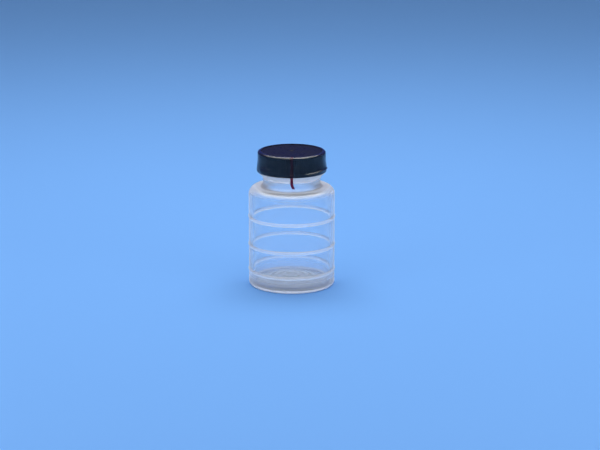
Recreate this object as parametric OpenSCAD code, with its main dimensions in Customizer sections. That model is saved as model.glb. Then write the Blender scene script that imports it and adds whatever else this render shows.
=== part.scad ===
// Gold sample vial: a small wide-mouth bottle with a low ribbed screw cap, sealed by a clear
// shrink band that a red tear strip opens.
// Millimetres, +Z up. The vial stands on z = 0 with its axis on Z, and the strip faces -Y.
// Screw threads, film wrinkles and moulding marks belong to the surface model, not to this file.

/* [Bottle] */
// Diameter of the plain body between the rings
body_d = 45; // [40:0.5:60]
// Height of the flat shoulder above the table
shoulder_h = 52.8; // [46:0.1:80]
// Radius of the corner between body and shoulder
shoulder_r = 4.2; // [3:0.1:6]
// Thickness of the body wall and the shoulder
body_wall = 1.8; // [1:0.1:2.4]
// Radius of the outer corner at the foot
heel_r = 1.6; // [0.8:0.1:2.5]
// Width of the flat ring that the vial stands on
foot_w = 2; // [1:0.1:4]
// Height of the push-up in the middle of the base
push_up = 2.4; // [1:0.1:4]
// Thickness of the floor
floor_t = 2; // [1.2:0.1:3]
// Radius of the inner corner between wall and floor
floor_r = 2; // [1:0.1:3]

/* [Moulded rings] */
// Height of the lowest ring above the table
ring_low_z = 8.4; // [5:0.1:12]
// Height of the middle ring
ring_mid_z = 21.8; // [15:0.1:28]
// Height of the upper ring
ring_top_z = 36.7; // [31:0.1:40]
// Height of each ring from its lower to its upper edge
ring_h = 1.8; // [1:0.1:3]
// How far each ring stands out of the body
ring_proud = 0.3; // [0.15:0.05:0.6]

/* [Neck] */
// Outer diameter of the neck, at the root of its thread
neck_d = 29.7; // [24:0.1:33]
// Thickness of the neck wall
neck_wall = 2.25; // [1.5:0.05:3]
// Height of the neck from the shoulder to the rim
neck_h = 16.1; // [14:0.1:20]
// Radius of the hollow corner between shoulder and neck
neck_fillet = 2.2; // [0.5:0.1:2.8]
// Radius of the rounded edges at the rim
rim_r = 0.5; // [0.2:0.1:0.8]

/* [Screw cap] */
// Room for the thread between the neck and the skirt
thread_room = 1.5; // [1.3:0.05:2]
// Height of the cap
cap_h = 10.4; // [8.5:0.05:12]
// Thickness of the cap's top
cap_top_t = 1.4; // [1:0.1:2]
// Thickness of the skirt under the ribs
cap_wall = 0.9; // [0.6:0.05:1.2]
// Radius of the top edge
cap_edge_r = 0.9; // [0.5:0.1:1.2]
// Number of ribs round the skirt
rib_count = 96; // [60:4:120]
// Depth of the ribs
rib_depth = 0.35; // [0.2:0.05:0.5]
// Height of the smooth rim at the foot of the skirt
cap_foot_h = 0.8; // [0.6:0.1:1.5]
// How far the skirt flares out to that rim
cap_foot_proud = 0.5; // [0.2:0.05:0.8]
// Height over which the skirt flares
flare_h = 5; // [3:0.1:6]
// Inner ridge that keeps the liner in the cap: how far it stands in
keeper_proud = 0.5; // [0.4:0.05:0.7]
// Height of that ridge
keeper_h = 0.5; // [0.3:0.1:0.8]
// Room between the liner and the ridge below it
keeper_gap = 0.15; // [0.1:0.05:0.3]

/* [Liner] */
// Thickness of the foam liner, pressed between cap and rim
liner_t = 0.95; // [0.6:0.05:1.5]
// Radial room for the liner in the cap
liner_clear = 0.25; // [0.15:0.05:0.3]

/* [Shrink band] */
// Thickness of the film
film_t = 0.15; // [0.1:0.01:0.25]
// Room between the film and the cap
film_gap = 0.08; // [0.05:0.01:0.15]
// Width of the lip that lies on the cap's top
lip_w = 1.6; // [1:0.1:3]
// How far the band reaches below the cap
band_drop = 3.6; // [2.5:0.1:4.5]
// Height of the collar that lies along the neck
collar_h = 0.8; // [0.3:0.1:1]
// Room between the collar and the neck
neck_gap = 0.25; // [0.2:0.01:0.4]

/* [Tear strip] */
// Width of the strip
strip_w = 1.5; // [1:0.1:3]
// Thickness of the strip
strip_t = 0.22; // [0.16:0.01:0.3]
// Room on each side of the strip, where the band is parted
strip_gap = 0.06; // [0.04:0.01:0.15]
// Length of the free tail below the band
tail_l = 2.7; // [2:0.1:4]
// How far the tail leans to +X at its end
tail_lean = 1; // [0:0.1:1.5]
// How far the tail stands away from the neck at its end
tail_out = 0.5; // [0:0.1:1.5]

/* [Hidden] */
$fn = 128;
arc_n = 8;

body_r = body_d / 2;
inner_r = body_r - body_wall;
neck_r = neck_d / 2;
// The corner at the neck's root is held to the room on the flat shoulder
root_r = max(0.2, min(neck_fillet, body_r - shoulder_r - neck_r - 0.1));
mouth_r = neck_r - neck_wall;
ceiling_z = shoulder_h - body_wall;
rim_z = shoulder_h + neck_h;
throat_r = 1.2;
foot_in_r = body_r - heel_r - foot_w;

// Sphere of the push-up: it meets the table at the foot's inner edge
dome_r = (pow(foot_in_r, 2) + pow(push_up, 2)) / (2 * push_up);
dome_z = push_up - dome_r;
floor_dome_r = dome_r + floor_t;
floor_edge_r = inner_r - floor_r;
floor_edge_z = dome_z + sqrt(pow(floor_dome_r, 2) - pow(floor_edge_r, 2));

// The skirt goes round the neck with room for the thread, and the cap hangs from its top,
// which presses the liner on the rim
cap_in_r = neck_r + thread_room;
rib_root_r = cap_in_r + cap_wall;
cap_r = rib_root_r + rib_depth;
cap_in_z = rim_z + liner_t;
cap_z1 = cap_in_z + cap_top_t;
cap_z0 = cap_z1 - cap_h;
cap_foot_r = cap_r + cap_foot_proud;
cap_foot_z = cap_z0 + cap_foot_h;
foot_edge_r = 0.5;
flare_z1 = cap_foot_z + flare_h;
// The gaps between the ribs are as wide as the ribs, and end a little inside the edges above and below
rib_gap_w = PI * cap_r / rib_count;
rib_inset = 0.1;
rib_z0 = cap_foot_z + rib_inset;
rib_z1 = cap_z1 - cap_edge_r - rib_inset;
liner_r = cap_in_r - liner_clear;
keeper_z1 = rim_z - keeper_gap;
keeper_r = cap_in_r - keeper_proud;

// The band's lower end, and the tail under it
band_z0 = cap_z0 - band_drop;
collar_r = neck_r + neck_gap;
lip_in_r = cap_r - lip_w;
tail_y = -(collar_r + film_t / 2);

function arc(c, r, a0, a1) =
    [for (i = [0:arc_n]) let (a = a0 + (a1 - a0) * i / arc_n) c + r * [cos(a), sin(a)]];

// Half-round ring on the body, as a low arc from its lower to its upper edge
function ring_arc(z) =
    let (r = (pow(ring_h / 2, 2) + pow(ring_proud, 2)) / (2 * ring_proud), a = asin(ring_h / 2 / r))
    arc([body_r + ring_proud - r, z], r, -a, a);

// Arc of a dome about [0, zc], from the edge radius r0 to the axis
function dome_arc(zc, r, r0) = arc([0, zc], r, acos(r0 / r), 90);

// How far the flaring skirt stands out at a height
function flare(z) = cap_foot_proud * (flare_z1 - z) / flare_h;

// Outside of the closed cap at a distance d, from the lip over the skirt down to the collar
function cap_skin(d) = concat(
    [[lip_in_r, cap_z1 + d]],
    arc([cap_r - cap_edge_r, cap_z1 - cap_edge_r], cap_edge_r + d, 90, 0),
    [[cap_r + d, flare_z1], [cap_foot_r + d, cap_foot_z]],
    arc([cap_foot_r - foot_edge_r, cap_z0 + foot_edge_r], foot_edge_r + d, 0, -50),
    [[collar_r + d - film_gap, band_z0 + collar_h], [collar_r + d - film_gap, band_z0]]
);

function reversed(v) = [for (i = [len(v) - 1:-1:0]) v[i]];

// Turned shell of thickness t over the closed cap
module cap_shell(t)
    rotate_extrude() polygon(concat(cap_skin(film_gap), reversed(cap_skin(film_gap + t))));

// Slab across the front that holds the strip's width
module front_slab(w)
    translate([-w / 2, -2 * body_r, 0]) cube([w, 2 * body_r, 2 * rim_z]);

module bottle() color([0.86, 0.9, 0.96, 0.45])
    rotate_extrude() polygon(concat(
        reversed(dome_arc(dome_z, dome_r, foot_in_r)),
        arc([body_r - heel_r, heel_r], heel_r, -90, 0),
        ring_arc(ring_low_z),
        ring_arc(ring_mid_z),
        ring_arc(ring_top_z),
        arc([body_r - shoulder_r, shoulder_h - shoulder_r], shoulder_r, 0, 90),
        arc([neck_r + root_r, shoulder_h + root_r], root_r, 270, 180),
        arc([neck_r - rim_r, rim_z - rim_r], rim_r, 0, 90),
        arc([mouth_r + rim_r, rim_z - rim_r], rim_r, 90, 180),
        arc([mouth_r + throat_r, ceiling_z + throat_r], throat_r, 180, 270),
        arc([body_r - shoulder_r, shoulder_h - shoulder_r], shoulder_r - body_wall, 90, 0),
        arc([inner_r - floor_r, floor_edge_z + floor_r], floor_r, 0, -90),
        dome_arc(dome_z, floor_dome_r, floor_edge_r)
    ));

// Gaps between the ribs: upright slots that follow the flare and end at the rim of the foot
module rib_gaps()
    for (i = [0:rib_count - 1]) rotate([90, 0, i * 360 / rib_count])
        linear_extrude(rib_gap_w, center = true) polygon([
            [rib_root_r + flare(rib_z0), rib_z0], [rib_root_r, flare_z1], [rib_root_r, rib_z1],
            [cap_foot_r + 1, rib_z1], [cap_foot_r + 1, rib_z0]
        ]);

module screw_cap() color([0.07, 0.07, 0.09])
    difference() {
        rotate_extrude() polygon(concat(
            [[0, cap_z0], [cap_foot_r - foot_edge_r, cap_z0]],
            arc([cap_foot_r - foot_edge_r, cap_z0 + foot_edge_r], foot_edge_r, -90, 0),
            [[cap_foot_r, cap_foot_z], [cap_r, flare_z1]],
            arc([cap_r - cap_edge_r, cap_z1 - cap_edge_r], cap_edge_r, 0, 90),
            [[0, cap_z1]]
        ));
        rotate_extrude() polygon([
            [0, cap_z0 - 1], [cap_in_r, cap_z0 - 1],
            [cap_in_r, keeper_z1 - keeper_h - keeper_proud],
            [keeper_r, keeper_z1 - keeper_h], [keeper_r, keeper_z1],
            [cap_in_r, keeper_z1], [cap_in_r, cap_in_z], [0, cap_in_z]
        ]);
        rib_gaps();
    }

module cap_liner() color([0.93, 0.93, 0.9])
    translate([0, 0, rim_z]) cylinder(r = liner_r, h = liner_t);

// The band is parted across the front, and the strip closes the parting
module shrink_band() color([0.8, 0.84, 0.9, 0.35])
    difference() {
        cap_shell(film_t);
        front_slab(strip_w + 2 * strip_gap);
    }

// Tail: a tape that leaves the collar at x = 0 and ends tail_l lower, leaning sideways and out
module tail() {
    up = band_z0 + collar_h / 2;
    intersection() {
        translate([0, tail_y - tail_out - strip_t, 0]) rotate([-90, 0, 0])
            linear_extrude(tail_out + 2 * strip_t) polygon([
                [-strip_w / 2, -up], [strip_w / 2, -up],
                [strip_w / 2 + tail_lean, tail_l - band_z0], [tail_lean - strip_w / 2, tail_l - band_z0]
            ]);
        rotate([90, 0, 90]) linear_extrude(4 * strip_w + 2 * tail_lean, center = true) polygon([
            [tail_y - strip_t / 2, up], [tail_y + strip_t / 2, up],
            [tail_y - tail_out + strip_t / 2, band_z0 - tail_l],
            [tail_y - tail_out - strip_t / 2, band_z0 - tail_l]
        ]);
    }
}

module tear_strip() color([0.3, 0.02, 0.06])
    union() {
        intersection() {
            cap_shell(strip_t);
            front_slab(strip_w);
        }
        tail();
    }

bottle();
screw_cap();
cap_liner();
shrink_band();
tear_strip();
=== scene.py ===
"""Sample vial: surface model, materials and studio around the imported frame.

Lengths are in metres and the frame's axes hold: +Z up, the tear strip faces -Y.
"""

import math

import bpy
from bpy.props import FloatProperty, FloatVectorProperty, IntProperty, PointerProperty
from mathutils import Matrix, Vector, noise


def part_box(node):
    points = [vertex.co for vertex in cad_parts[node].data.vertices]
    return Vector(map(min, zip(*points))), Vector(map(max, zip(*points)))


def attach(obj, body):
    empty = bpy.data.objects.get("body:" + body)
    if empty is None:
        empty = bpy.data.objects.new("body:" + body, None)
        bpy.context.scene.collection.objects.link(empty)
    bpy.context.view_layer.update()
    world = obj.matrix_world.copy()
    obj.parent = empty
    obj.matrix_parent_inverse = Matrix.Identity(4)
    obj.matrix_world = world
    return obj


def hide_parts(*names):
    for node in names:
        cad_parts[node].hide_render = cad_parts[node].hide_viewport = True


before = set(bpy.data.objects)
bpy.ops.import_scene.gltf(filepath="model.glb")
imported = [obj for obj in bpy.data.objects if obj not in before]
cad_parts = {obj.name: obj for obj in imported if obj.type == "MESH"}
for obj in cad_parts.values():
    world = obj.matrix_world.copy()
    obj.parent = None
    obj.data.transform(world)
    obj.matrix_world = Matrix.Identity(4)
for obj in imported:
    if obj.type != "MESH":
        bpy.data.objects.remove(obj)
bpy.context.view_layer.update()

bl_info = {
    "name": "Sample vial",
    "version": (1, 0, 0),
    "blender": (4, 5, 0),
    "location": "View3D > Sidebar > Vial",
    "description": "Moulded vial with screw cap, shrink band and tear strip",
    "category": "Object",
}

MM = 0.001
FULL_TURN = 2 * math.pi
BOTTLE_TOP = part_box("bottle")[1]
CAP_LOW, CAP_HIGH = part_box("screw_cap")
LINER_LOW, LINER_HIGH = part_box("cap_liner")
BAND_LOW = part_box("shrink_band")[0]
STRIP_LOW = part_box("tear_strip")[0]

# Steps of each mesh round the axis, and rows where relief needs them close together
BOTTLE_STEPS = 192
LINER_STEPS = 128
BAND_STEPS = 360
STEPS_PER_RIB = 6
NECK_THREAD_ROWS = 116
CAP_THREAD_ROWS = 36
RIPPLE_ROWS = 44
FOLD_ROWS = 52

# How near to a radius a vertex counts as lying on it, and to another as its double
ON_SURFACE = 0.02 * MM
DOUBLES = 0.002 * MM

# Heights above the cap's foot at which its flare starts and the film's close rows end
FLARE_START = 1.2 * MM
FOLDS_TOP = 6.4 * MM

# Zones of the bottle's plastic: clearness, sheen and the share of lamplight that passes
HAZES = {
    "hazy_plastic": (0.99, 1.0, 0.895),
    "inner_plastic": (0.99, 0.0, 0.895),
    "cloudy_plastic": (0.89, 1.0, 0.64),
    "milky_plastic": (0.7, 1.0, 0.895),
    # Heel band made milky white to paint in the bright line of light along the heel; it also stops
    # the lamps' light
    "heel_highlight_plastic": (0.25, 1.0, 0.0),
    "frosted_plastic": (0.86, 1.0, 0.15),
    "misty_plastic": (0.95, 1.0, 0.8),
}

# Nips at the left and tents beside the strip: share of the crumple height, then place and
# spread round the axis in degrees, then place above the cap's foot and spread in millimetres
FILM_NIPS = (
    (0.25, -41, 5, 5.35, 0.2),
    (0.15, -43, 4, 8.65, 0.2),
    (0.4, -7.2, 2.4, 5.35, 0.17),
    (0.4, 8.4, 4.2, 5.55, 0.17),
)


# Settings


def length(name, description, millimetres):
    return FloatProperty(
        name=name, description=description, default=millimetres * MM, unit="LENGTH", precision=5
    )


def colour(name, description, rgb):
    return FloatVectorProperty(
        name=name, description=description, default=rgb, subtype="COLOR", min=0, max=1
    )


def angle(name, description, degrees):
    return FloatProperty(
        name=name, description=description, default=math.radians(degrees), subtype="ANGLE"
    )


def number(name, description, value):
    return FloatProperty(name=name, description=description, default=value)


class VialBottle(bpy.types.PropertyGroup):
    """Sizes and colours of the moulded bottle"""

    ring_proud: length("Ring height", "How far each ring stands out of the wall", 0.3)
    ring_h: length("Ring width", "Ring from its lower to its upper edge", 1.8)
    ring_low_z: length("Low ring", "Height of the lowest ring", 8.4)
    ring_mid_z: length("Middle ring", "Height of the middle ring", 21.8)
    ring_top_z: length("Upper ring", "Height of the upper ring", 36.7)
    shoulder_h: length("Shoulder", "Height of the flat shoulder", 52.8)
    shoulder_r: length("Shoulder corner", "Radius between body and shoulder", 4.2)
    wall: length("Wall", "Thickness of body wall and shoulder", 1.8)
    heel_r: length("Heel", "Radius of the outer corner at the foot", 1.6)
    foot_w: length("Foot", "Width of the flat standing ring", 2.0)
    push_up: length("Push-up", "Height of the hollow under the base", 2.4)
    floor_t: length("Floor", "Thickness of the floor", 2.0)
    floor_r: length("Floor corner", "Radius between inner wall and floor", 2.0)
    neck_r: length("Neck", "Outer radius of the neck at the thread's root", 14.85)
    neck_wall: length("Neck wall", "Thickness of the neck", 2.25)
    neck_fillet: length("Neck corner", "Radius between shoulder and neck", 2.2)
    rim_r: length("Rim edge", "Radius of the edges at the rim", 0.5)
    ripple: length("Floor ripple", "Height of the rings on the floor", 0.08)
    frost_h: length("Frost", "Height up to which the base is frosted", 9.0)
    mist_h: length("Mist", "Height over which the wall clouds up to the shoulder", 8.0)
    seam: length("Parting line", "Height of the mould's parting line", 0.035)
    tint: colour("Plastic", "Colour of the hazy plastic", (0.995, 0.997, 1.0))
    # Blue tint of the frosted base: a painted colour that stands in for the blue floor seen through
    # it, not a colour of the plastic
    frost_tint: colour("Frost tint", "Colour of the frosted base", (0.9, 0.94, 1.0))


class VialThread(bpy.types.PropertyGroup):
    """Sizes of the right-hand thread on neck and cap"""

    pitch: length("Pitch", "Rise of the thread in one turn", 25.4 / 6)
    low_z: length("Start", "Height of the neck thread where it starts", 61.7)
    neck_turns: number("Neck turns", "Turns on the neck", 1.25)
    neck_depth: length("Neck depth", "Height of the neck thread", 1.15)
    cap_depth: length("Cap depth", "Height of the cap thread", 1.1)
    width: length("Width", "Width of a thread at its root", 2.0)


class VialCap(bpy.types.PropertyGroup):
    """Sizes and colours of the screw cap and its liner"""

    top_t: length("Top", "Thickness of the cap's top", 1.4)
    edge_r: length("Top edge", "Radius of the top edge", 0.9)
    ribs: IntProperty(name="Ribs", description="Ribs round the skirt", default=96, min=24)
    rib_depth: length("Rib depth", "Depth of the gaps between ribs", 0.32)
    skirt_wall: length("Skirt", "Thickness of the skirt with its ribs", 1.25)
    foot_h: length("Foot band", "Height of the plain band under the ribs", 0.7)
    foot_proud: length("Flare", "How far the skirt flares out to its foot", 0.5)
    flare_h: length("Flare height", "Height over which the skirt flares", 5.5)
    foot_edge_r: length("Foot edge", "Radius at the lower edge", 0.5)
    keeper_proud: length("Keeper", "How far the liner's keeper stands in", 0.5)
    keeper_h: length("Keeper height", "Height of the liner's keeper", 0.5)
    gate_r: length("Gate", "Radius of the gate mark on the top", 1.1)
    # The black's slight blue is partly a painted reflection: it stands in for the blue cast the
    # surroundings give the cap
    plastic: colour("Plastic", "Colour of the black plastic", (0.004, 0.004, 0.005))
    foam: colour("Foam", "Colour of the liner", (0.86, 0.86, 0.83))


class VialBand(bpy.types.PropertyGroup):
    """Sizes and colours of the shrink band and its tear strip"""

    film_t: length("Film", "Thickness of the film", 0.15)
    film_gap: length("Film gap", "Room between film and cap", 0.08)
    lip_w: length("Lip", "Width of the lip on the cap's top", 1.6)
    collar_h: length("Collar", "Height of the collar on the neck", 0.8)
    neck_gap: length("Collar gap", "Room between collar and neck", 0.25)
    crumple: length("Crumple", "Height of the loose folds", 0.55)
    strip_w: length("Strip width", "Width of the tear strip", 1.5)
    strip_t: length("Strip", "Thickness of the tear strip", 0.2)
    strip_gap: length("Strip gap", "Room on each side of the strip", 0.06)
    pucker: length("Strip pucker", "How far the strip lifts over the cap's foot", 0.22)
    tail_lean: length("Tail lean", "How far the tail leans to +X", 1.0)
    tail_out: length("Tail out", "How far the tail stands off the neck", 0.5)
    film: colour("Film", "Colour of the clear film", (0.99, 0.992, 1.0))
    strip: colour("Strip", "Colour of the tear strip", (0.28, 0.004, 0.03))


class VialStudio(bpy.types.PropertyGroup):
    """Camera, lamps and floor"""

    distance: length("Distance", "Camera to the aim point", 1021.6)
    aim_z: length("Aim", "Height of the aim point on the axis", 35.0)
    elevation: angle("Elevation", "Angle of the view above the floor", 14.493)
    focal_px: number("Focal", "Focal length in pixels", 1945.2)
    frame_px: IntProperty(name="Frame", description="Width of the picture in pixels", default=600)
    aim_px: FloatVectorProperty(
        name="Aim in the picture",
        description="Pixels of the aim point right of and above the middle",
        size=2,
        default=(-8.3, 6.64),
    )
    floor_w: length("Floor width", "Side of the square floor", 2800.0)
    floor: colour("Floor", "Colour of the floor", (0.17, 0.4, 0.85))
    horizon: colour("Horizon", "Colour seen past the floor", (0.17, 0.4, 0.85))
    past_glass: colour(
        "Past glass", "Colour seen past the floor through clear plastic", (0.74, 0.86, 1.0)
    )
    past_gloss: colour(
        "Past gloss", "Colour that glossy surfaces mirror past the floor", (0.07, 0.1, 0.42)
    )
    ambient: number("Ambient", "Strength of the world", 0.22)
    ambient_tint: colour("Ambient tint", "Colour of the world's light", (0.97, 0.98, 1))
    key: number("Key", "Power of the lamp above", 4.9)
    fill: number("Fill", "Power of each lamp in front", 3.4)
    key_tint: colour("Key tint", "Colour of the lamps", (1, 0.98, 0.97))
    tent: number("Tent", "Brightness of the light tent in reflections", 7.0)
    glass_tent: number("Tent in glass", "Brightness of the tent through clear plastic", 1.4)
    tent_low: angle("Tent edge", "Angle above the floor at which the tent starts", 32)
    tent_full: angle("Tent top", "Angle above the floor from which the tent is brightest", 66)
    even: number("Even", "Share of the floor that shows no falloff", 0.05)


# Modelling helpers


def levels(start, end, steps):
    """Even steps from start to end, with both."""
    return [start + (end - start) * i / steps for i in range(steps + 1)]


def between(start, end, steps):
    """Points in even steps from start to end, with both."""
    return list(zip(*(levels(a, b, steps) for a, b in zip(start, end))))


def arc(centre, radius, start, end, steps):
    """Points (r, z) of an arc, with its angles in degrees from outwards towards up."""
    turns = [math.radians(degrees) for degrees in levels(start, end, steps)]
    return [(centre[0] + radius * math.cos(a), centre[1] + radius * math.sin(a)) for a in turns]


def ease(t):
    """t held between 0 and 1, with soft ends."""
    t = max(0.0, min(1.0, t))
    return t * t * (3 - 2 * t)


def bell(offset, width):
    """1 in the middle of a bump, falling to 0 over its width."""
    return math.exp(-((offset / width) ** 2))


def window(value, low, high, soft):
    """1 between low and high, with soft ends."""
    return ease(min((value - low) / soft, (high - value) / soft))


def axis_distance(point):
    """Distance of a point from the axis."""
    return math.hypot(point.x, point.y)


def front_angle(point):
    """Degrees round the axis from the front, positive towards +X."""
    return math.degrees(math.atan2(point.x, -point.y))


def start_path(name, point):
    """A new object in edit mode that holds one selected vertex."""
    bpy.ops.object.select_all(action="DESELECT")
    bpy.ops.mesh.primitive_plane_add(size=MM, location=(0, 0, 0))
    piece = bpy.context.object
    piece.name = piece.data.name = name
    bpy.ops.object.mode_set(mode="EDIT")
    bpy.ops.mesh.select_mode(type="VERT")
    bpy.ops.mesh.select_all(action="SELECT")
    bpy.ops.mesh.merge(type="CENTER")
    bpy.ops.transform.translate(value=point)
    return piece


def extrude_along(points):
    """Extrudes what is selected from the first point through the others."""
    for here, there in zip(points, points[1:]):
        step = Vector(there) - Vector(here)
        bpy.ops.mesh.extrude_region_move(TRANSFORM_OT_translate={"value": step})


def clean_mesh():
    """Merges doubles and turns the faces outwards, in edit mode."""
    bpy.ops.mesh.select_all(action="SELECT")
    bpy.ops.mesh.remove_doubles(threshold=DOUBLES)
    bpy.ops.mesh.normals_make_consistent(inside=False)


def lathe(name, outline, steps):
    """Spins an outline of points (r, z) round the axis and returns the new object."""
    points = [(r, 0, z) for r, z in outline]
    piece = start_path(name, points[0])
    extrude_along(points)
    bpy.ops.mesh.select_all(action="SELECT")
    bpy.ops.mesh.spin(steps=steps, angle=FULL_TURN, center=(0, 0, 0), axis=(0, 0, 1))
    clean_mesh()
    bpy.ops.object.mode_set(mode="OBJECT")
    return piece


def apply_modifier(piece, modifier):
    bpy.context.view_layer.objects.active = piece
    bpy.ops.object.modifier_apply(modifier=modifier.name)


def swell(piece, name, height, share):
    """Moves the surface along its normal by height times share(vertex)."""
    group = piece.vertex_groups.new(name=name)
    for vertex in piece.data.vertices:
        weight = share(vertex)
        if weight > 0:
            group.add([vertex.index], min(1.0, weight), "REPLACE")
    modifier = piece.modifiers.new(name, "DISPLACE")
    modifier.direction = "NORMAL"
    modifier.vertex_group = group.name
    modifier.mid_level = 0
    modifier.strength = height
    apply_modifier(piece, modifier)
    piece.vertex_groups.remove(piece.vertex_groups[name])


def thicken(piece, thickness):
    """Gives an open sheet a wall on its inner side."""
    modifier = piece.modifiers.new("wall", "SOLIDIFY")
    modifier.thickness = thickness
    modifier.offset = -1
    modifier.use_even_offset = True
    apply_modifier(piece, modifier)


def smooth(piece, degrees):
    """Shades a piece smooth, except at edges sharper than this."""
    bpy.ops.object.select_all(action="DESELECT")
    piece.select_set(True)
    bpy.context.view_layer.objects.active = piece
    bpy.ops.object.shade_smooth_by_angle(angle=math.radians(degrees))


def hand_over(piece, materials, body, node):
    """Finishes a piece: its materials, the body that carries it and the node it stands for."""
    piece.data.materials.clear()
    for material in materials:
        piece.data.materials.append(material)
    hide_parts(node)
    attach(piece, body)


def thread_share(point, low_z, start_turn, end_turn, settings):
    """Share of the thread's height at a point: 0 off the ridge, 1 on its crest."""
    most_turns, lead_in, flank = 3, 0.06, 0.85
    around = (math.atan2(point.y, point.x) % FULL_TURN) / FULL_TURN
    share = 0.0
    for lap in range(most_turns):
        turn = around + lap
        if start_turn < turn < end_turn:
            off = abs(point.z - low_z - settings.pitch * turn) / (settings.width / 2)
            fade = min(1.0, (turn - start_turn) / lead_in, (end_turn - turn) / lead_in)
            share = max(share, ease((1 - off) / flank) * fade)
    return share


# Materials


def shader_group(name, inputs, outputs):
    """An empty node group with float inputs (name: default) and float outputs."""
    tree = bpy.data.node_groups.new(name, "ShaderNodeTree")
    for label, default in inputs.items():
        socket = tree.interface.new_socket(label, in_out="INPUT", socket_type="NodeSocketFloat")
        socket.default_value = default
    for label in outputs:
        tree.interface.new_socket(label, in_out="OUTPUT", socket_type="NodeSocketFloat")
    source = tree.nodes.new("NodeGroupInput")
    result = tree.nodes.new("NodeGroupOutput")
    return tree, source, result


def moulded_grain():
    """Fine mould texture and slow flow clouds, as two values from 0 to 1."""
    tree, source, result = shader_group(
        "moulded_grain", {"Fine Scale": 9000.0, "Cloud Scale": 160.0}, ("Fine", "Cloud")
    )
    place = tree.nodes.new("ShaderNodeTexCoord")
    for label, detail in (("Fine", 3.0), ("Cloud", 4.0)):
        cells = tree.nodes.new("ShaderNodeTexNoise")
        cells.inputs["Detail"].default_value = detail
        tree.links.new(place.outputs["Object"], cells.inputs["Vector"])
        tree.links.new(source.outputs[label + " Scale"], cells.inputs["Scale"])
        tree.links.new(cells.outputs["Fac"], result.inputs[label])
    return tree


def handling_marks():
    """Hair scratches, as a mask from 0 to 1."""
    tree, source, result = shader_group("handling_marks", {"Scratch Scale": 260.0}, ("Scratch",))
    place = tree.nodes.new("ShaderNodeTexCoord")
    lie = tree.nodes.new("ShaderNodeMapping")
    lie.inputs["Rotation"].default_value = (0.5, 0.9, 0.3)
    lie.inputs["Scale"].default_value = (1.0, 9.0, 1.3)
    hairs = tree.nodes.new("ShaderNodeTexNoise")
    hairs.inputs["Detail"].default_value = 5.0
    cut = tree.nodes.new("ShaderNodeMapRange")
    cut.inputs["From Min"].default_value = 0.66
    cut.inputs["From Max"].default_value = 0.72
    tree.links.new(place.outputs["Object"], lie.inputs["Vector"])
    tree.links.new(lie.outputs["Vector"], hairs.inputs["Vector"])
    tree.links.new(source.outputs["Scratch Scale"], hairs.inputs["Scale"])
    tree.links.new(hairs.outputs["Fac"], cut.inputs["Value"])
    tree.links.new(cut.outputs["Result"], result.inputs["Scratch"])
    return tree


def shared_group(builder):
    """The group that this function builds, made at its first use."""
    return bpy.data.node_groups.get(builder.__name__) or builder()


def calculate(tree, operation, first, second):
    """Output of a math node on a node's output and on another or a plain number."""
    node = tree.nodes.new("ShaderNodeMath")
    node.operation = operation
    tree.links.new(first, node.inputs[0])
    if isinstance(second, float):
        node.inputs[1].default_value = second
    else:
        tree.links.new(second, node.inputs[1])
    return node.outputs[0]


def mix_shaders(tree, share, first, second):
    """Output of a mix that shows a share of the second shader over the first."""
    node = tree.nodes.new("ShaderNodeMixShader")
    for socket, output in zip(node.inputs, (share, first, second)):
        tree.links.new(output, socket)
    return node.outputs[0]


def shade(rgb, factor):
    return tuple(min(1.0, c * factor) for c in rgb)


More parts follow.
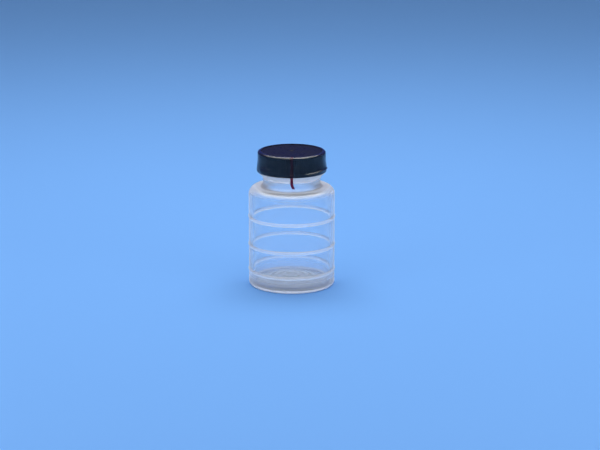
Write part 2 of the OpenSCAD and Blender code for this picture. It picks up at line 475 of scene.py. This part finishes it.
class Finish:
    """A material with its Principled shader, and the few node patterns that pieces share."""

    def __init__(self, name, **constants):
        self.material = bpy.data.materials.new(name)
        self.material.use_nodes = True
        self.tree = self.material.node_tree
        self.shader = self.tree.nodes["Principled BSDF"]
        for socket, value in constants.items():
            self.shader.inputs[socket.replace("_", " ")].default_value = value

    def group(self, builder, **values):
        """A shared group with this material's own values."""
        node = self.tree.nodes.new("ShaderNodeGroup")
        node.node_tree = shared_group(builder)
        for label, value in values.items():
            node.inputs[label.replace("_", " ")].default_value = value
        return node

    def spread(self, value, low, high):
        """The usual range of a noise value spread from low to high."""
        node = self.tree.nodes.new("ShaderNodeMapRange")
        node.inputs["From Min"].default_value = 0.3
        node.inputs["From Max"].default_value = 0.7
        node.inputs["To Min"].default_value = low
        node.inputs["To Max"].default_value = high
        self.tree.links.new(value, node.inputs["Value"])
        return node.outputs["Result"]

    def add(self, first, second, share):
        """first plus share times second, held between 0 and 1."""
        node = self.tree.nodes.new("ShaderNodeMath")
        node.operation = "MULTIPLY_ADD"
        node.use_clamp = True
        node.inputs[1].default_value = share
        self.tree.links.new(second, node.inputs[0])
        self.tree.links.new(first, node.inputs[2])
        return node.outputs[0]

    def mottle(self, value, rgb, dark, light=1.0):
        """Colours the surface between a darker and a lighter tone of a colour."""
        node = self.tree.nodes.new("ShaderNodeMix")
        node.data_type = "RGBA"
        node.inputs["A"].default_value = (*shade(rgb, dark), 1)
        node.inputs["B"].default_value = (*shade(rgb, light), 1)
        self.tree.links.new(value, node.inputs["Factor"])
        self.feed("Base Color", node.outputs["Result"])

    def growing(self, start, end):
        """0 at the height where it starts, growing to 1 at the height where it ends."""
        place = self.tree.nodes.new("ShaderNodeTexCoord")
        split = self.tree.nodes.new("ShaderNodeSeparateXYZ")
        grow = self.tree.nodes.new("ShaderNodeMapRange")
        grow.interpolation_type = "SMOOTHSTEP"
        grow.inputs["From Min"].default_value = start
        grow.inputs["From Max"].default_value = end
        self.tree.links.new(place.outputs["Object"], split.inputs[0])
        self.tree.links.new(split.outputs["Z"], grow.inputs["Value"])
        return grow.outputs["Result"]

    def feed(self, socket, value):
        self.tree.links.new(value, self.shader.inputs[socket])

    def relief(self, *layers):
        """Bumps of the surface: (height, depth in metres) of each layer."""
        normal = None
        for height, depth in layers:
            node = self.tree.nodes.new("ShaderNodeBump")
            node.inputs["Distance"].default_value = depth
            self.tree.links.new(height, node.inputs["Height"])
            if normal:
                self.tree.links.new(normal, node.inputs["Normal"])
            normal = node.outputs["Normal"]
        self.feed("Normal", normal)

    def mix_in(self, share, shader):
        """Shows a share of another shader over the Principled one."""
        mixed = mix_shaders(self.tree, share, self.shader.outputs["BSDF"], shader.outputs[0])
        self.tree.links.new(mixed, self.tree.nodes["Material Output"].inputs["Surface"])

    def let_lamps_through(self, tint):
        """Lets the lamps reach what is behind the surface, dimmed by a tint."""
        path = self.tree.nodes.new("ShaderNodeLightPath")
        clear = self.tree.nodes.new("ShaderNodeBsdfTransparent")
        clear.inputs["Color"].default_value = (*tint, 1)
        self.mix_in(path.outputs["Is Shadow Ray"], clear)


def hazy_plastic(settings, name):
    """Milky clear plastic of one zone of the bottle."""
    clearness, sheen, lamplight = HAZES[name]
    finish = Finish(
        name, Transmission_Weight=clearness, IOR=1.5, Sheen_Weight=sheen, Sheen_Roughness=0.52
    )
    grain = finish.group(moulded_grain, Fine_Scale=2600.0, Cloud_Scale=110.0)
    marks = finish.group(handling_marks)
    cloud = grain.outputs["Cloud"]
    tint = settings.tint
    rough = finish.spread(cloud, 0.04, 0.09)
    if name == "frosted_plastic":
        # The frosted base takes a bluish tint that paints in the blue floor seen through it
        tint = settings.frost_tint
        rough = finish.add(rough, finish.growing(settings.frost_h, 0.0), 0.6)
    elif name != "inner_plastic":
        mist = finish.growing(settings.shoulder_h - settings.mist_h, settings.shoulder_h - MM)
        rough = finish.add(rough, mist, 0.24)
    finish.mottle(cloud, tint, 0.985)
    finish.feed("Roughness", finish.add(rough, marks.outputs["Scratch"], 0.03))
    finish.relief((cloud, 0.05 * MM), (grain.outputs["Fine"], 0.002 * MM))
    finish.let_lamps_through(shade((0.985, 0.99, 1.0), lamplight))
    return finish.material


def black_plastic(settings):
    """Satin black plastic of the cap."""
    finish = Finish("black_plastic", IOR=1.5, Specular_IOR_Level=0.05)
    grain = finish.group(moulded_grain, Fine_Scale=7000.0, Cloud_Scale=260.0)
    marks = finish.group(handling_marks)
    # The cap's black carries a slight blue that paints in the reflected blue of its surroundings
    finish.mottle(grain.outputs["Cloud"], settings.plastic, 0.8, 1.3)
    rough = finish.spread(grain.outputs["Cloud"], 0.25, 0.33)
    finish.feed("Roughness", finish.add(rough, marks.outputs["Scratch"], -0.1))
    finish.relief((grain.outputs["Fine"], 0.03 * MM))
    return finish.material


def liner_foam(settings):
    """White closed-cell foam of the liner."""
    finish = Finish("liner_foam", IOR=1.45)
    grain = finish.group(moulded_grain, Fine_Scale=3500.0, Cloud_Scale=400.0)
    finish.mottle(grain.outputs["Cloud"], settings.foam, 0.9)
    finish.feed("Roughness", finish.spread(grain.outputs["Fine"], 0.6, 0.85))
    finish.relief((grain.outputs["Fine"], 0.08 * MM))
    return finish.material


def clear_film(settings, name, ior):
    """Glossy clear film of the shrink band."""
    finish = Finish(name, Transmission_Weight=1.0, IOR=ior)
    grain = finish.group(moulded_grain, Fine_Scale=1500.0, Cloud_Scale=300.0)
    marks = finish.group(handling_marks)
    finish.mottle(grain.outputs["Cloud"], settings.film, 0.98)
    rough = finish.spread(grain.outputs["Cloud"], 0.04, 0.1)
    finish.feed("Roughness", finish.add(rough, marks.outputs["Scratch"], 0.1))
    finish.relief((grain.outputs["Cloud"], 0.03 * MM))
    finish.let_lamps_through((0.96, 0.96, 0.965))
    return finish.material


def shrunk_film(settings):
    """Hazier film where it has shrunk in under the cap."""
    finish = Finish(
        "shrunk_film", Transmission_Weight=0.72, IOR=1.4, Sheen_Weight=0.8, Sheen_Roughness=0.4
    )
    grain = finish.group(moulded_grain, Fine_Scale=1500.0, Cloud_Scale=420.0)
    finish.mottle(grain.outputs["Cloud"], settings.film, 0.97)
    finish.feed("Roughness", finish.spread(grain.outputs["Cloud"], 0.12, 0.22))
    finish.relief((grain.outputs["Cloud"], 0.05 * MM))
    finish.let_lamps_through((0.92, 0.92, 0.93))
    return finish.material


def red_tape(settings):
    """Dark red see-through tape of the tear strip."""
    finish = Finish("red_tape", Transmission_Weight=0.97, IOR=1.4)
    grain = finish.group(moulded_grain, Fine_Scale=4000.0, Cloud_Scale=700.0)
    finish.mottle(grain.outputs["Cloud"], settings.strip, 0.75, 1.25)
    finish.feed("Roughness", finish.spread(grain.outputs["Cloud"], 0.12, 0.22))
    finish.relief((grain.outputs["Cloud"], 0.03 * MM))
    return finish.material


def pale_floor(settings):
    """Plain matt floor, of which a share looks evenly lit to camera, gloss and clear plastic."""
    tint = (*settings.floor, 1)
    finish = Finish("pale_floor", Base_Color=tint, Roughness=0.8, Specular_IOR_Level=0.1)
    glow = finish.tree.nodes.new("ShaderNodeEmission")
    glow.inputs["Color"].default_value = tint
    path = finish.tree.nodes.new("ShaderNodeLightPath")
    seen = path.outputs["Is Camera Ray"]
    for ray in ("Is Glossy Ray", "Is Transmission Ray"):
        seen = calculate(finish.tree, "MAXIMUM", seen, path.outputs[ray])
    finish.mix_in(calculate(finish.tree, "MULTIPLY", seen, settings.even), glow)
    return finish.material


# Outlines


def bottle_outline(s, thread):
    """Outline of the bottle from the middle of its underside round to the middle of its floor."""
    throat_r, ring_margin, thread_margin = 1.2 * MM, 0.25 * MM, 0.2 * MM
    body_r = BOTTLE_TOP.x - s.ring_proud
    inner_r = body_r - s.wall
    mouth_r = s.neck_r - s.neck_wall
    ceiling_z = s.shoulder_h - s.wall
    edge_z = BOTTLE_TOP.z - s.rim_r
    corner = (body_r - s.shoulder_r, s.shoulder_h - s.shoulder_r)
    neck_root = (s.neck_r + s.neck_fillet, s.shoulder_h + s.neck_fillet)
    foot_in_r = body_r - s.heel_r - s.foot_w
    dome_r = (foot_in_r**2 + s.push_up**2) / (2 * s.push_up)
    dome_z = s.push_up - dome_r
    floor_dome_r = dome_r + s.floor_t
    floor_edge_r = inner_r - s.floor_r
    floor_edge_z = dome_z + math.sqrt(floor_dome_r**2 - floor_edge_r**2)
    foot_deg = math.degrees(math.acos(foot_in_r / dome_r))
    floor_deg = math.degrees(math.acos(floor_edge_r / floor_dome_r))
    thread_low = (s.neck_r, thread.low_z - thread.width)
    thread_high = (s.neck_r, edge_z - thread_margin)

    def ring(middle):
        half = s.ring_h / 2
        radius = (half**2 + s.ring_proud**2) / (2 * s.ring_proud)
        swing = math.degrees(math.asin(half / radius))
        centre = (body_r + s.ring_proud - radius, middle)
        return [
            (body_r, middle - half - ring_margin),
            *arc(centre, radius, -swing, swing, steps=16),
            (body_r, middle + half + ring_margin),
        ]

    return [
        *arc((0, dome_z), dome_r, 90, foot_deg, steps=20),
        *arc((body_r - s.heel_r, s.heel_r), s.heel_r, -90, 0, steps=10),
        *ring(s.ring_low_z),
        *ring(s.ring_mid_z),
        *ring(s.ring_top_z),
        *arc(corner, s.shoulder_r, 0, 90, steps=16),
        *arc(neck_root, s.neck_fillet, 270, 180, steps=8),
        *between(thread_low, thread_high, NECK_THREAD_ROWS),
        *arc((s.neck_r - s.rim_r, edge_z), s.rim_r, 0, 90, steps=6),
        *arc((mouth_r + s.rim_r, edge_z), s.rim_r, 90, 180, steps=6),
        *arc((mouth_r + throat_r, ceiling_z + throat_r), throat_r, 180, 270, steps=8),
        *arc(corner, s.shoulder_r - s.wall, 90, 0, steps=12),
        *arc((floor_edge_r, floor_edge_z + s.floor_r), s.floor_r, 0, -90, steps=10),
        *arc((0, dome_z), floor_dome_r, floor_deg, 90, RIPPLE_ROWS),
    ]


def skirt_r(s, z):
    """Radius of the cap's skirt at a height: it flares towards its foot."""
    return CAP_HIGH.x - s.foot_proud * ease((z - CAP_LOW.z - FLARE_START) / s.flare_h)


def cap_outline(s):
    """Outline of the cap from the middle of its top round to the middle of its ceiling."""
    dip, rib_margin, inner_edge_r = 0.12 * MM, 0.2 * MM, 0.2 * MM
    thread_margin, liner_room = 0.6 * MM, 0.15 * MM
    foot_r = CAP_HIGH.x
    low, high = CAP_LOW.z, CAP_HIGH.z
    rib_r = foot_r - s.foot_proud
    inner_r = rib_r - s.skirt_wall
    ceiling = high - s.top_t
    keeper_z = LINER_LOW.z - liner_room
    keeper_r = inner_r - s.keeper_proud
    keeper_low = keeper_z - s.keeper_h - s.keeper_proud
    rib_high, rib_low = high - s.edge_r, low + s.foot_h
    return [
        (0, high + dip / 2),
        (s.gate_r * 0.25, high + dip / 2),
        (s.gate_r * 0.4, high - dip),
        (s.gate_r * 0.8, high - dip),
        *between((s.gate_r, high), (rib_r - s.edge_r, high), 10),
        *arc((rib_r - s.edge_r, high - s.edge_r), s.edge_r, 80, 0, steps=9),
        *((skirt_r(s, z), z) for z in levels(rib_high - rib_margin, rib_low + rib_margin, 12)),
        (skirt_r(s, rib_low), rib_low),
        *arc((foot_r - s.foot_edge_r, low + s.foot_edge_r), s.foot_edge_r, 0, -90, steps=8),
        *arc((inner_r + inner_edge_r, low + inner_edge_r), inner_edge_r, -90, -180, steps=4),
        *between((inner_r, low + thread_margin), (inner_r, keeper_low), CAP_THREAD_ROWS),
        (keeper_r, keeper_z - s.keeper_h),
        (keeper_r, keeper_z),
        (inner_r, keeper_z),
        (inner_r, ceiling),
        (0, ceiling),
    ]


def cap_skin(s, cap, off):
    """Outside of the closed cap at a distance, from the lip over the skirt to the collar."""
    edge_margin, foot_margin = 0.2 * MM, 0.15 * MM
    low, high = CAP_LOW.z, CAP_HIGH.z
    rib_r = CAP_HIGH.x - cap.foot_proud
    foot = (CAP_HIGH.x - cap.foot_edge_r, low + cap.foot_edge_r)
    corner = arc(foot, cap.foot_edge_r + off, 0, -50, steps=6)
    collar_r = bpy.context.scene.vial_bottle.neck_r + s.neck_gap + off - s.film_gap
    plain = levels(high - cap.edge_r - edge_margin, low + FOLDS_TOP, 9)
    folded = levels(low + FOLDS_TOP, low + cap.foot_edge_r + foot_margin, FOLD_ROWS)
    return [
        *between((rib_r - s.lip_w, high + off), (rib_r - cap.edge_r, high + off), 5),
        *arc((rib_r - cap.edge_r, high - cap.edge_r), cap.edge_r + off, 80, 0, steps=8),
        *((skirt_r(cap, z) + off, z) for z in plain[:-1] + folded),
        *corner,
        *between(corner[-1], (collar_r, BAND_LOW.z + s.collar_h), 14)[1:],
        (collar_r, BAND_LOW.z + s.collar_h / 2),
        (collar_r, BAND_LOW.z),
    ]


# Operators


class VIAL_OT_bottle(bpy.types.Operator):
    """Spin the hazy bottle with its rings, floor ripples, parting line and neck thread"""

    bl_idname = "vial.bottle"
    bl_label = "Bottle"

    def execute(self, context):
        s, thread = context.scene.vial_bottle, context.scene.vial_thread
        piece = lathe("moulded_bottle", bottle_outline(s, thread), BOTTLE_STEPS)
        floor_top, line_w = 6 * MM, 0.1 * MM
        ripple_in, ripple_out, ripple_soft, ripple_w = -1 * MM, 15 * MM, 5 * MM, 0.6 * MM

        def on_neck(vertex):
            if abs(axis_distance(vertex.co) - s.neck_r) > ON_SURFACE:
                return 0.0
            return thread_share(vertex.co, thread.low_z, 0.0, thread.neck_turns, thread)

        def on_floor(vertex):
            if vertex.normal.z < 0.9 or vertex.co.z > floor_top:
                return 0.0
            radius = axis_distance(vertex.co)
            fade = window(radius, ripple_in, ripple_out, ripple_soft)
            return fade * (0.5 + 0.5 * math.cos(radius / ripple_w))

        def on_parting(vertex):
            point, normal = vertex.co, vertex.normal
            outside = normal.x * point.x > 0 and abs(normal.z) < 0.95
            on_line = abs(point.y) < line_w and abs(point.x) > s.neck_r - MM
            return 1.0 if outside and on_line and point.z < s.shoulder_h else 0.0

        swell(piece, "thread", thread.neck_depth, on_neck)
        swell(piece, "ripple", s.ripple, on_floor)
        swell(piece, "parting", s.seam, on_parting)
        smooth(piece, 45)
        materials = [hazy_plastic(s, name) for name in HAZES]
        hand_over(piece, materials, "bottle", "bottle")
        zones = list(HAZES)
        for face in piece.data.polygons:
            face.material_index = zones.index(self.zone(face, s))
        return {"FINISHED"}

    def zone(self, face, s):
        """The plastic of a face: clear inside, milky on the rings, clouded at both ends, and
        whitened at the heel as a painted highlight line.
        """
        spot = face.center
        middle_low, middle_high = 8 * MM, 45 * MM
        middle = Vector((0, 0, max(middle_low, min(middle_high, spot.z))))
        on_wall = abs(face.normal.z) < 0.7
        rings = (s.ring_low_z, s.ring_mid_z, s.ring_top_z)
        up_heel = spot.z / s.heel_r
        up_shoulder = (spot.z - s.shoulder_h) / s.shoulder_r + 1
        if face.normal.dot(middle - spot) > 0:
            return "inner_plastic"
        # The milky heel band is a painted highlight line
        if on_wall and 0.35 < up_heel < 0.95:
            return "heel_highlight_plastic"
        if on_wall and any(abs(spot.z - height) < s.ring_h / 2 for height in rings):
            return "milky_plastic"
        if up_shoulder > 0.6:
            return "cloudy_plastic"
        if up_shoulder > 0.1:
            return "misty_plastic"
        return "frosted_plastic" if spot.z < s.frost_h else "hazy_plastic"


class VIAL_OT_screw_cap(bpy.types.Operator):
    """Spin the black cap with its ribs, gate mark and inner thread"""

    bl_idname = "vial.screw_cap"
    bl_label = "Screw cap"

    def execute(self, context):
        s, thread = context.scene.vial_cap, context.scene.vial_thread
        piece = lathe("ribbed_cap", cap_outline(s), s.ribs * STEPS_PER_RIB)
        rib_margin, rib_flank = 0.1 * MM, 0.35
        thread_start, thread_end = 0.68, 1.6
        inner_r = CAP_HIGH.x - s.foot_proud - s.skirt_wall
        gap_low = CAP_LOW.z + s.foot_h + rib_margin
        gap_high = CAP_HIGH.z - s.edge_r - rib_margin

        def in_rib_gap(vertex):
            point = vertex.co
            if not gap_low < point.z < gap_high:
                return 0.0
            if abs(axis_distance(point) - skirt_r(s, point.z)) > ON_SURFACE:
                return 0.0
            phase = math.atan2(point.y, point.x) / FULL_TURN * s.ribs
            return window(phase % 1.0, 0.0, 1.0, rib_flank)

        def inside(vertex):
            if abs(axis_distance(vertex.co) - inner_r) > ON_SURFACE:
                return 0.0
            low_z = thread.low_z - thread.pitch / 2
            return thread_share(vertex.co, low_z, thread_start, thread_end, thread)

        swell(piece, "rib_gaps", -s.rib_depth, in_rib_gap)
        swell(piece, "thread", thread.cap_depth, inside)
        smooth(piece, 40)
        hand_over(piece, [black_plastic(s)], "cap", "screw_cap")
        return {"FINISHED"}


class VIAL_OT_cap_liner(bpy.types.Operator):
    """Spin the foam liner, pressed in where it sits on the rim"""

    bl_idname = "vial.cap_liner"
    bl_label = "Cap liner"

    def execute(self, context):
        bottle = context.scene.vial_bottle
        low, high, outer_r = LINER_LOW.z, LINER_HIGH.z, LINER_HIGH.x
        mouth_r = bottle.neck_r - bottle.neck_wall
        bulge, edge = 0.08 * MM, 0.2 * MM
        press, slope = 0.1 * MM, 0.5 * MM
        outline = [
            *between((0, high), (outer_r - edge, high), 8),
            *arc((outer_r - edge, high - edge), edge, 90, 0, steps=4),
            *arc((outer_r - edge, low - bulge + edge), edge, 0, -90, steps=4),
            (bottle.neck_r + slope, low - bulge),
            (bottle.neck_r + press, low),
            (mouth_r - press, low),
            *between((mouth_r - slope, low - bulge), (0, low - bulge), 8),
        ]
        piece = lathe("foam_liner", outline, LINER_STEPS)
        smooth(piece, 40)
        foam = liner_foam(context.scene.vial_cap)
        hand_over(piece, [foam], "liner", "cap_liner")
        return {"FINISHED"}


def film_lift(point):
    """Share of the crumple height by which the film stands off the cap at a point."""
    around = front_angle(point)
    z = point.z / MM
    up = (point.z - CAP_LOW.z) / MM

    def waver(across, along, seed):
        return noise.noise(Vector((around * across, z * along, seed)))

    # Soft pocket at the lower left under a ridge
    ridge_up = 3.35 + 0.3 * waver(0.1, 0.0, 2.2)
    ridge = 0.5 * window(around, -70, -33, 9) * bell(up - ridge_up, 0.24)
    pocket = 0.4 * window(around, -68, -32, 9) * window(up, 0.45, 2.95, 0.8)
    pocket *= 1 + 0.5 * waver(0.16, 0.9, 3.7)
    # Long fold at the lower right, with a short branch under it
    along = around - 18
    fold_up = 1.35 + 0.025 * along - 0.00025 * along**2 + 0.08 * waver(0.07, 0.0, 9.2)
    fold = 0.95 * window(around, 16, 92, 14) * bell(up - fold_up, 0.4)
    branch = 0.22 * window(around, 30, 66, 10) * bell(up - fold_up + 0.62, 0.18)
    # Slack behind, gathers on the cone and slow waves
    slack = max(0.0, 1 - 2.4 * abs(waver(0.09, 0.7, 12.5)))
    back = 0.55 * window(abs(around), 104, 176, 18) * window(up, 0.35, 5.15, 1.4) * slack * slack
    gathers = 0.3 * max(0.0, waver(0.17, 0.05, 5.0)) * window(up, -2.95, -0.25, 1.2)
    waves = 0.1 * max(0.0, waver(0.05, 0.33, 0.5))
    nips = sum(
        share * bell(around - place, wide) * bell(up - height, tall)
        for share, place, wide, height, tall in FILM_NIPS
    )
    return ridge + pocket + fold + branch + back + gathers + waves + nips


class VIAL_OT_shrink_band(bpy.types.Operator):
    """Spin the film over the cap, part it for the strip and crumple it"""

    bl_idname = "vial.shrink_band"
    bl_label = "Shrink band"

    def execute(self, context):
        s = context.scene.vial_band
        outline = cap_skin(s, context.scene.vial_cap, s.film_gap + s.film_t)
        piece = lathe("film_band", outline, BAND_STEPS)
        self.part_front(piece, s.strip_w / 2 + s.strip_gap)
        swell(piece, "crumple", s.crumple, lambda vertex: film_lift(vertex.co))
        thicken(piece, s.film_t)
        smooth(piece, 50)
        films = [
            clear_film(s, "clear_film", 1.45),
            clear_film(s, "clinging_film", 1.02),
            shrunk_film(s),
        ]
        hand_over(piece, films, "cap", "shrink_band")
        self.vary_film(piece)
        return {"FINISHED"}

    def vary_film(self, piece):
        """Lets the film cling to the cap with no gloss of its own inside, and whitens the cone."""
        clear, clinging, shrunk = range(3)
        middle = Vector((0, 0, (CAP_LOW.z + CAP_HIGH.z) / 2))
        for face in piece.data.polygons:
            inside = face.normal.dot(face.center - middle) < 0
            on_cap = clinging if inside else clear
            face.material_index = shrunk if face.center.z < CAP_LOW.z else on_cap

    def part_front(self, piece, half):
        """Cuts a parting of this half width out of the front."""
        reach = 4 * half
        bpy.ops.object.mode_set(mode="EDIT")
        for side in (-half, half):
            self.select_front(piece, reach)
            bpy.ops.mesh.bisect(plane_co=(side, 0, 0), plane_no=(1, 0, 0))
        self.select_front(piece, half)
        bpy.ops.mesh.delete(type="FACE")
        bpy.ops.object.mode_set(mode="OBJECT")

    def select_front(self, piece, reach):
        """Selects the faces of the front whose middle lies within this distance of x = 0."""
        bpy.ops.mesh.select_all(action="DESELECT")
        bpy.ops.object.mode_set(mode="OBJECT")
        for face in piece.data.polygons:
            face.select = face.center.y < 0 and abs(face.center.x) < reach
        bpy.ops.object.mode_set(mode="EDIT")
        bpy.ops.mesh.select_mode(type="FACE")


class VIAL_OT_tear_strip(bpy.types.Operator):
    """Extrude the red tape down the front, with its free twisted tail"""

    bl_idname = "vial.tear_strip"
    bl_label = "Tear strip"

    def execute(self, context):
        s = context.scene.vial_band
        outline = cap_skin(s, context.scene.vial_cap, s.film_gap + s.strip_t)
        pucker_z, pucker_w = CAP_LOW.z + 1.45 * MM, 0.3 * MM
        route = [(0, -r - s.pucker * bell(z - pucker_z, pucker_w), z) for r, z in outline]
        half = Vector((s.strip_w / 2, 0, 0))
        start = Vector(route[0])
        piece = start_path("red_strip", start - half)
        extrude_along(between(start - half, start + half, steps=4))
        bpy.ops.mesh.select_all(action="SELECT")
        extrude_along(route)
        self.draw_tail(Vector(route[-1]), s)
        clean_mesh()
        bpy.ops.object.mode_set(mode="OBJECT")
        thicken(piece, s.strip_t)
        smooth(piece, 50)
        hand_over(piece, [red_tape(s)], "strip", "tear_strip")
        return {"FINISHED"}

    def draw_tail(self, top, s):
        """Hangs the tail from the last row of the strip, leaning and twisting."""
        steps, twist, bend = 14, math.radians(14), 1.8
        drop = top.z - STRIP_LOW.z
        here = top
        for i in range(1, steps + 1):
            t = i / steps
            there = top + Vector((s.tail_lean * t**bend, -s.tail_out * t, -drop * t))
            extrude_along([here, there])
            bpy.ops.transform.rotate(value=twist / steps, orient_axis="Z", center_override=there)
            here = there


class VIAL_OT_studio(bpy.types.Operator):
    """Set up the floor, the lamps and the camera"""

    bl_idname = "vial.studio"
    bl_label = "Studio"

    def execute(self, context):
        s = context.scene.vial_studio
        self.add_floor(s)
        self.add_world(context, s)
        self.add_lamps(s)
        self.add_camera(context, s)
        context.scene.view_settings.view_transform = "Standard"
        return {"FINISHED"}

    def add_floor(self, s):
        bpy.ops.object.select_all(action="DESELECT")
        bpy.ops.mesh.primitive_plane_add(size=s.floor_w, location=(0, 0, 0))
        floor = bpy.context.object
        floor.name = floor.data.name = "floor"
        floor.data.materials.append(pale_floor(s))

    def add_world(self, context, s):
        """Even light for the object, with a tent and plain surrounds for gloss and clear plastic."""
        world = bpy.data.worlds.new("studio")
        world.use_nodes = True
        tree = world.node_tree
        links, nodes = tree.links, tree.nodes

        def surround(tint, strength=1.0):
            node = nodes.new("ShaderNodeBackground")
            node.inputs["Color"].default_value = (*tint, 1)
            node.inputs["Strength"].default_value = strength
            return node.outputs[0]

        path = nodes.new("ShaderNodeLightPath")
        first = calculate(tree, "LESS_THAN", path.outputs["Diffuse Depth"], 0.5)
        through = calculate(tree, "GREATER_THAN", path.outputs["Transmission Depth"], 1.5)
        rise = nodes.new("ShaderNodeSeparateXYZ")
        links.new(nodes.new("ShaderNodeTexCoord").outputs["Generated"], rise.inputs[0])
        above = nodes.new("ShaderNodeMapRange")
        above.inputs["From Min"].default_value = math.sin(s.tent_low)
        above.inputs["From Max"].default_value = math.sin(s.tent_full)
        links.new(rise.outputs["Z"], above.inputs["Value"])
        ahead = calculate(tree, "LESS_THAN", rise.outputs["Y"], 0.0)
        shown = surround(s.ambient_tint, s.ambient)
        for ray, past, tent in (
            (path.outputs["Is Glossy Ray"], s.past_gloss, s.tent),
            (through, s.past_glass, s.glass_tent),
        ):
            share = calculate(tree, "MULTIPLY", ray, first)
            shown = mix_shaders(tree, share, shown, surround(past))
            in_front = calculate(tree, "MULTIPLY", share, ahead)
            shown = mix_shaders(tree, in_front, shown, surround(s.horizon))
            in_tent = calculate(tree, "MULTIPLY", share, above.outputs["Result"])
            shown = mix_shaders(tree, in_tent, shown, surround(s.key_tint, tent))
        shown = mix_shaders(tree, path.outputs["Is Camera Ray"], shown, surround(s.horizon))
        links.new(shown, nodes["World Output"].inputs["Surface"])
        context.scene.world = world

    def add_lamps(self, s):
        """A soft lamp above and a little behind, and one at each side in front.

        Glossy and clear surfaces see the world's tent in their place.
        """
        for name, place, size, power in (
            ("softbox above", (0, 0.22, 0.75), (0.7, 0.44), s.key),
            ("softbox left", (-0.62, -0.5, 0.2), (0.6, 0.35), s.fill),
            ("softbox right", (0.62, -0.5, 0.2), (0.6, 0.35), s.fill),
        ):
            aim = Vector((0, 0, s.aim_z)) - Vector(place)
            turn = aim.to_track_quat("-Z", "Y").to_euler()
            bpy.ops.object.light_add(type="AREA", location=place, rotation=turn)
            lamp = bpy.context.object
            lamp.name = name
            lamp.data.shape = "RECTANGLE"
            lamp.data.size, lamp.data.size_y = size
            lamp.data.energy = power
            lamp.data.color = s.key_tint
            lamp.visible_transmission = False
            lamp.visible_glossy = False

    def add_camera(self, context, s):
        view = Vector((0, -math.cos(s.elevation), math.sin(s.elevation)))
        place = Vector((0, 0, s.aim_z)) + view * s.distance
        turn = (math.pi / 2 - s.elevation, 0, 0)
        bpy.ops.object.camera_add(location=place, rotation=turn)
        camera = bpy.context.object
        camera.data.sensor_width = 36
        camera.data.lens = s.focal_px / s.frame_px * camera.data.sensor_width
        camera.data.shift_x = -s.aim_px[0] / s.frame_px
        camera.data.shift_y = -s.aim_px[1] / s.frame_px
        camera.data.clip_start, camera.data.clip_end = 0.01, 20
        context.scene.camera = camera


MAKERS = (
    VIAL_OT_bottle,
    VIAL_OT_cap_liner,
    VIAL_OT_screw_cap,
    VIAL_OT_shrink_band,
    VIAL_OT_tear_strip,
    VIAL_OT_studio,
)

SETTINGS = {
    "vial_bottle": VialBottle,
    "vial_thread": VialThread,
    "vial_cap": VialCap,
    "vial_band": VialBand,
    "vial_studio": VialStudio,
}


class VIAL_PT_panel(bpy.types.Panel):
    """Buttons and settings of the vial"""

    bl_idname = "VIAL_PT_panel"
    bl_label = "Sample vial"
    bl_space_type = "VIEW_3D"
    bl_region_type = "UI"
    bl_category = "Vial"

    def draw(self, context):
        for maker in MAKERS:
            self.layout.operator(maker.bl_idname)
        for name, settings in SETTINGS.items():
            box = self.layout.box()
            for field in settings.__annotations__:
                box.prop(getattr(context.scene, name), field)


def register():
    for cls in (*SETTINGS.values(), *MAKERS, VIAL_PT_panel):
        bpy.utils.register_class(cls)
    for name, settings in SETTINGS.items():
        setattr(bpy.types.Scene, name, PointerProperty(type=settings))


def unregister():
    for name in SETTINGS:
        delattr(bpy.types.Scene, name)
    for cls in (VIAL_PT_panel, *reversed(MAKERS), *reversed(SETTINGS.values())):
        bpy.utils.unregister_class(cls)


def main():
    register()
    for maker in MAKERS:
        section, name = maker.bl_idname.split(".")
        getattr(getattr(bpy.ops, section), name)()


if __name__ == "__main__":
    main()
